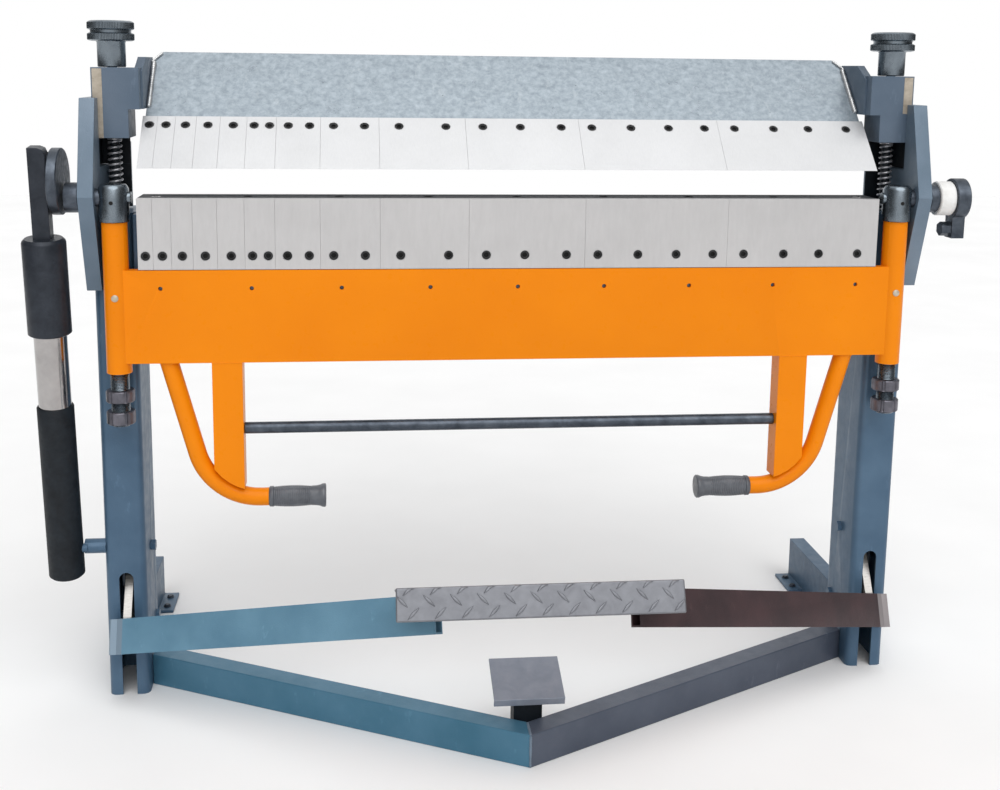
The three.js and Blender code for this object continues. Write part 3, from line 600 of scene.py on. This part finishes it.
for hand, side in SIDES:
    refine(f"guide_block_{hand}", BLOCK, 2.0, 3)
    x = side * ROD_X
    rod = revolved((x, ROD_Y, 0), (0, 0, 1), [(330, 0), (330, 8)] + [(z, 8) for z in range(340, 860, 40)]
                   + [(1176, 8), (1179.7, 5), (1179.7, 0)], 36)
    prism([(90, 290), (106, 290), (106, 335), (90, 335)], x - 5, x + 5, rod)
    revolved((x, 97.7, 302.3), (side, 0, 0), [(0, 0), (0, 4.5), (11.2, 4.5), (11.2, 0)], 24, bm=rod)
    piece(f"pull_rod_{hand}_bar", rod, BLACK, "clamp", (f"pull_rod_{hand}",))
    knob = revolved((x, ROD_Y, 0), (0, 0, 1), [
        (1112.5, 0), (1112.5, 22), (1114, 23.4), (1153, 23.4), (1155, 24.6), (1155.4, 33),
        (1156.4, 36.6), (1157.6, 38.4, 0.4), (1167, 38.4, 0.4), (1168.4, 36.6),
        (1169.4, 33.6), (1173.4, 33.6),
        (1174.4, 36.6), (1175.8, 38.4, 0.4), (1185.8, 38.4, 0.4), (1187.8, 36),
        (1189, 33), (1189, 12), (1187.4, 10.5), (1187.4, 0)], 384, knurl(96))
    piece(f"adjusting_knob_{hand}_turned", knob, KNOB, f"knob_{hand}",
          (f"adjusting_knob_{hand}",))
    turns, wire, coil = 14.0, 2.1, 10.3
    steps = int(turns * 28)
    lift = SPRING_TOP - SPRING_BOTTOM - 2 * wire
    helix = []
    for i in range(steps + 1):
        f = i / steps
        rise = min(1, max(0, (f * turns - 0.75) / (turns - 1.5)))
        helix.append((x + coil * cos(2 * pi * turns * f), ROD_Y + coil * sin(2 * pi * turns * f),
                      SPRING_BOTTOM + wire + lift * rise + 0.3 * (f - rise)))
    spring = piece(f"return_spring_{hand}_coil", swept(helix, wire, 10), SPRING, "stand",
                   (f"return_spring_{hand}",), smooth=60)
    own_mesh(spring)
    y0, z0 = clamp_face(1046)
    y1, z1 = clamp_face(1122)
    bead(f"weld_beam_{hand}", [(side * 627, y0, z0), (side * 627, y1, z1)], 4.2, "clamp")
    bead(f"weld_beam_corner_{hand}", [(side * 631, y1, z1), (side * 614, y1 + 16, z1 + 16)], 2.2,
         "clamp")
    low = {"left": 995, "right": 1046}[hand]
    grease = prism([(63, low), (63, 1110), (61.6, 1110), (61.6, low)], side * 694, side * 710)
    piece(f"grease_strip_{hand}", grease, GREASE, "clamp", bevel=0.3)

# ---------------------------------------------------------------- pedal

refine("pedal_arm_left", ARM_BLUE, 2.6, 4)
refine("pedal_arm_right", BROWN, 2.6, 4)
refine("pedal_tread", TREAD, 3.5, 4)
for hand, side in SIDES:
    refine(f"pedal_lever_{hand}", LEVER_STEEL, 1.2)
    refine(f"connecting_link_{hand}", DARK, 0.8)

TREAD_HALF, TREAD_TOP_Y, TREAD_TOP_Z, TREAD_PLATE, LEAN = 220, -333, 351, 5, radians(24)


def on_tread(u, v, out):
    """A point on the tread's leaning face: u along it, v down from its top edge, out from its surface."""
    y, z = -TREAD_PLATE - out, -v
    return at(u, TREAD_TOP_Y + y * cos(LEAN) + z * sin(LEAN), TREAD_TOP_Z - y * sin(LEAN) + z * cos(LEAN))


def diamonds():
    bm = bmesh.new()
    for v, start, tilt in ((3, 19, radians(-45)), (20, 9, radians(45)), (38, 26, radians(-45))):
        for i in range(11):
            u = start - TREAD_HALF + 40.4 * i
            half, wide, tall = 13, 2.9, 1.5
            outline = []
            for k in range(16):
                a = 2 * pi * k / 16
                p, q = half * cos(a), wide * sin(a) * (1 - 0.45 * abs(cos(a)))
                outline.append((u + p * cos(tilt) - q * sin(tilt), v + p * sin(tilt) + q * cos(tilt)))
            outline = [(min(TREAD_HALF - 1, max(1 - TREAD_HALF, a)), min(49, max(1.5, b))) for a,
                       b in outline]
            centre = (sum(a for a, _ in outline) / 16, sum(b for _, b in outline) / 16)
            base = [bm.verts.new(on_tread(a, b, -0.4)) for a, b in outline]
            mid = [bm.verts.new(on_tread(centre[0] + (a - centre[0]) * 0.88,
                                         centre[1] + (b - centre[1]) * 0.88, tall * 0.75))
                   for a, b in outline]
            top = [bm.verts.new(on_tread(centre[0] + (a - centre[0]) * 0.55,
                                         centre[1] + (b - centre[1]) * 0.55, tall))
                   for a, b in outline]
            for lower, upper in ((base, mid), (mid, top)):
                for k in range(16):
                    bm.faces.new((lower[k], lower[(k + 1) % 16], upper[(k + 1) % 16], upper[k]))
            bm.faces.new(top)
            bm.faces.new(base)
    piece("tread_pattern", bm, TREAD, "pedal", smooth=60)


diamonds()

# ---------------------------------------------------------------- bending leaf

leaf_holes = [revolved((150.0 * k, 12, 749), (0, -1, 0), [(0, 0), (0, 3.6), (20, 3.6), (20, 0)],
                       24) for k in range(-4, 5)]
refine("bending_leaf", ORANGE, 1.2, 3, cutters=leaf_holes)
plugs = bmesh.new()
for k in range(-4, 5):
    revolved((150.0 * k, 5, 749), (0, -1, 0), [(-1, 0), (-1, 3.5), (0, 3.5), (0.4, 3), (0.4, 0)], 24,
             bm=plugs)
piece("leaf_grub_screws", plugs, DARK, "leaf", smooth=25)

rod = revolved((-468, 20, 502), (1, 0, 0),
               [(0.4, 0), (0.4, 9.2), (1.2, 10)] + [(t, 10) for t in range(40, 930, 60)]
               + [(934.8, 10), (935.6, 9.2), (935.6, 0)], 40)
piece("cross_rod_bar", rod, DARK, "leaf", ("cross_rod",))

GRIP_Z, LEG_LEAN, BEND_RADIUS = 378, radians(15), 110
BEND_X = (592 - (621 - GRIP_Z - BEND_RADIUS * (1 - sin(LEG_LEAN))) * tan(LEG_LEAN)
          - BEND_RADIUS * cos(LEG_LEAN))
for hand, side in SIDES:
    path = [(side * (592 - (621 - z) * tan(LEG_LEAN)), 20, z) for z in (621.2, 570, 515, 470)]
    path += [(side * (BEND_X + BEND_RADIUS * cos(a)), 20, GRIP_Z + BEND_RADIUS * (1 - sin(a)))
             for a in [LEG_LEAN + (pi / 2 - LEG_LEAN) * i / 24 for i in range(25)]]
    path += [(side * 428.4, 20, GRIP_Z)]
    piece(f"handle_{hand}_tube", swept(path, 15.5, 40), ORANGE, "leaf", (f"handle_{hand}",))
    grip = [(0, 0), (0, 16), (1.2, 17.6), (7, 18)]
    for i in range(20):
        t, swell = 8 + 3.2 * i, 17.2 + 1.6 * sin(pi * i / 19)
        grip += [(t, swell - 0.9), (t + 0.8, swell, 0.5), (t + 2.0, swell, 0.5), (t + 2.8, swell - 0.9)]
    grip += [(74, 17), (82, 17.3), (88, 18.6), (92, 20.4), (96, 20.6), (97.6, 19.2), (98, 17), (98, 0)]
    body = revolved((side * 428, 20, GRIP_Z), (-side, 0, 0), grip, 96, knurl(12))
    piece(f"grip_{hand}_rubber", body, RUBBER, "leaf", (f"grip_{hand}",), smooth=50)
    pin = revolved((side * PIVOT_X, -3.4, 734), (0, -1, 0),
                   [(0, 0), (0, 5.8), (2.4, 5.8), (3.2, 4.8), (3.5, 0)], 36)
    piece(f"locking_pin_{hand}", pin, PIN, "leaf", smooth=50)
    bead(f"weld_leg_front_{hand}", [(side * 468, 0.4, 621), (side * 519, 0.4, 621)], 1.2, "leaf",
         ORANGE)
    ring = [(side * (592 + 16 * cos(a)), 20 + 16 * sin(a),
             620.4) for a in [2 * pi * i / 36 for i in range(37)]]
    bead(f"weld_handle_{hand}", ring, 1.8, "leaf", ORANGE)

# ---------------------------------------------------------------- swing pivots


def notches(count, width):
    def relief(angle):
        nearest = (angle * count / (2 * pi) + 0.5) % 1 - 0.5
        return 1.0 if abs(nearest) < width else 0.0
    return relief


for hand, side in SIDES:
    x = side * PIVOT_X
    cap = revolved((x, BEND_Y, 0), (0, 0, 1), [
        (512, 0), (512, 14.8), (513.4, 15.9)] + [(514 + 1.25 * i, 15.9 if i % 2 else 14.7) for i in range(72)]
        + [(606, 15.9), (860, 15.9), (860, 23.8), (861, 25), (915, 25), (919, 22.8), (921.6, 21),
           (923, 18), (923, 0)], 72)
    revolved((x - side * 21, BEND_Y, 900), (-side, 0, 0), [(0, 0), (0, 10), (7.2, 10), (8, 9.2), (8, 0)],
             48, bm=cap)
    piece(f"pivot_cap_{hand}_turned", cap, KNOB, "swing", (f"pivot_cap_{hand}",))
    # A thin black disc on the cap stands for its grub hole: painted shade, and no hole is cut.
    grub = revolved((x, BEND_Y - 24.9, 893), (0, -1, 0), [(0, 0), (0, 3.4), (0.4, 3.2), (0.4, 0)], 24)
    piece(f"cap_grub_hole_shade_{hand}", grub, HOLE_SHADE, "swing", smooth=20)
    refine(f"pivot_axle_{hand}", DARK, 0.8)
    for name, low, high in (("height_nut", 554, 574), ("lock_nut", 516, 538)):
        nut = revolved((x, BEND_Y, 0), (0, 0, 1),
                       [(low, 16.5), (low, 22.4), (low + 1.6, 24, 2.6), (high - 1.6, 24, 2.6),
                        (high, 22.4), (high, 16.5)], 144, notches(6, 0.085))
        piece(f"{name}_{hand}_turned", nut, NUT, "swing", (f"{name}_{hand}",), smooth=28)

disc = revolved((-753, BEND_Y, 926.6), (-1, 0, 0),
                [(0, 0), (0, 53.4), (1.6, 55), (15.4, 55), (17, 53.4), (17, 0)], 128)
revolved((-753, -8, 963), (-1, 0, 0), [(16, 0), (16, 9), (17.7, 9), (17.7, 0)], 32, bm=disc)
revolved((-753, BEND_Y, 900), (-1, 0, 0), [(16.9, 0), (16.9, 15), (17.6, 14), (17.6, 0)], 48, bm=disc)
piece("crank_disc_turned", disc, DARK, "swing", ("crank_disc",))
ring = revolved((743, BEND_Y, 900), (1, 0, 0),
                [(0, 15.4), (0, 28.4), (1.5, 30), (26.5, 30), (28.2, 28.4), (28.2, 15.4)], 96)
piece("stop_ring_moulded", ring, NYLON, "swing", ("stop_ring",))
refine("stop_collar", DARK, 1.2)

# ---------------------------------------------------------------- balance strut

STRUT_X, STRUT_Y, STRUT_Z = -786, 62, 277
lean = atan2(62 + 8, 963 - 277)
UP = (0, -sin(lean), cos(lean))
tube = revolved((STRUT_X, STRUT_Y, STRUT_Z), UP,
                [(-50, 0), (-50, 27.5), (-47, 30.5)] + [(t, 30.5) for t in range(-20, 250, 30)]
                + [(265.5, 30.5), (268, 29), (268, 27.6), (-20, 27.6), (-20, 0)], 96)
piece("strut_tube_turned", tube, BLACK, "strut_lower", ("strut_tube",))
rod = revolved((STRUT_X, STRUT_Y, STRUT_Z), UP, [(150, 0), (150, 27)] + [(t, 27) for t in range(170, 390, 20)]
               + [(395.7, 27), (395.7, 0)], 96)
piece("strut_rod_turned", rod, CHROME, "strut_upper", ("strut_rod",))
sleeve = revolved((STRUT_X, STRUT_Y, STRUT_Z), UP,
                  [(396, 0), (396, 33), (398, 35.5), (553, 35.5), (556, 34.4), (560, 30.5), (560, 0)],
                  96)
piece("strut_sleeve_turned", sleeve, SLEEVE, "strut_upper")
bar_low, bar_high, half = 555, hypot(70, 686) + 22, 14
front = Vector((0, -cos(lean), -sin(lean)))
bar = bmesh.new()
outline = [(-half, bar_low), (half, bar_low), (half, bar_high - 12), (half - 4, bar_high - 3),
           (2, bar_high), (-half, bar_high)]
rings = []
for out in (-half, half):
    rings.append([bar.verts.new(at(STRUT_X + u, STRUT_Y,
                                   STRUT_Z) + Vector(UP) * v / 1000 + front * out / 1000)
                  for u, v in outline])
for ring in rings:
    bar.faces.new(ring)
for k in range(len(outline)):
    j = (k + 1) % len(outline)
    bar.faces.new((rings[0][k], rings[0][j], rings[1][j], rings[1][k]))
piece("strut_bar", bar, SLEEVE, "strut_upper", ("strut_sleeve",), bevel=1.2)

# ---------------------------------------------------------------- floor, light and camera

floor = bmesh.new()
corners = [(-9, -9), (9, -9), (9, 9), (-9, 9)]
floor.faces.new([floor.verts.new((x, y, 0)) for x, y in corners])
floor_mesh = bpy.data.meshes.new("floor")
floor.to_mesh(floor_mesh)
floor.free()
floor_obj = bpy.data.objects.new("floor", floor_mesh)
bpy.context.scene.collection.objects.link(floor_obj)
floor_look = Look("floor_pale", Roughness=0.9)
floor_look.colour(floor_look.ramp(floor_look.noise(2, 3), (0.3, 0.9), (0.7, 0.94)))
floor_obj.data.materials.append(floor_look.material)

bpy.context.scene.view_settings.view_transform = "Standard"
world = bpy.data.worlds.new("studio")
bpy.context.scene.world = world
world.use_nodes = True
sky = world.node_tree
direction = sky.nodes.new("ShaderNodeSeparateXYZ")
sky.links.new(sky.nodes.new("ShaderNodeTexCoord").outputs["Generated"], direction.inputs["Vector"])
sideways = sky.nodes.new("ShaderNodeMath")
sideways.operation = "ABSOLUTE"
sky.links.new(direction.outputs["X"], sideways.inputs[0])
falloff = sky.nodes.new("ShaderNodeMapRange")
for socket, value in (("From Min", 0.3), ("From Max", 0.85), ("To Min", 1.0), ("To Max", 0.1)):
    falloff.inputs[socket].default_value = value
sky.links.new(sideways.outputs["Value"], falloff.inputs["Value"])
seen = sky.nodes.new("ShaderNodeMath")
seen.operation = "MAXIMUM"
sky.links.new(falloff.outputs["Result"], seen.inputs[0])
sky.links.new(sky.nodes.new("ShaderNodeLightPath").outputs["Is Camera Ray"], seen.inputs[1])
backdrop = sky.nodes["Background"]
backdrop.inputs["Color"].default_value = (1, 1, 1, 1)
sky.links.new(seen.outputs["Value"], backdrop.inputs["Strength"])

key = bpy.data.lights.new("key", "SUN")
key.energy = 1.5
key.angle = radians(60)
key_obj = bpy.data.objects.new("key", key)
key_obj.rotation_euler = Vector((-0.1, 0.6, -0.79)).to_track_quat("-Z", "Y").to_euler()
bpy.context.scene.collection.objects.link(key_obj)

YAW, PITCH, ROLL = 0.1088, 0.1646, -0.012
forward = Vector((sin(YAW) * cos(PITCH), cos(YAW) * cos(PITCH), -sin(PITCH)))
right = Vector((cos(YAW), -sin(YAW), 0))
down = forward.cross(right)
across = right * cos(ROLL) + down * sin(ROLL)
below = -right * sin(ROLL) + down * cos(ROLL)
camera_data = bpy.data.cameras.new("camera")
camera_data.lens = 46.21
camera_data.sensor_width = 36
camera_data.sensor_fit = "HORIZONTAL"
camera_data.shift_x = 0.005
camera_data.shift_y = -0.115
camera_data.clip_start = 0.05
camera = bpy.data.objects.new("camera", camera_data)
bpy.context.scene.collection.objects.link(camera)
turn = Matrix((across, -below, -forward)).transposed()
camera.matrix_world = Matrix.Translation(at(-274.85, -2152.07, 1120.41)) @ turn.to_4x4()
bpy.context.scene.camera = camera
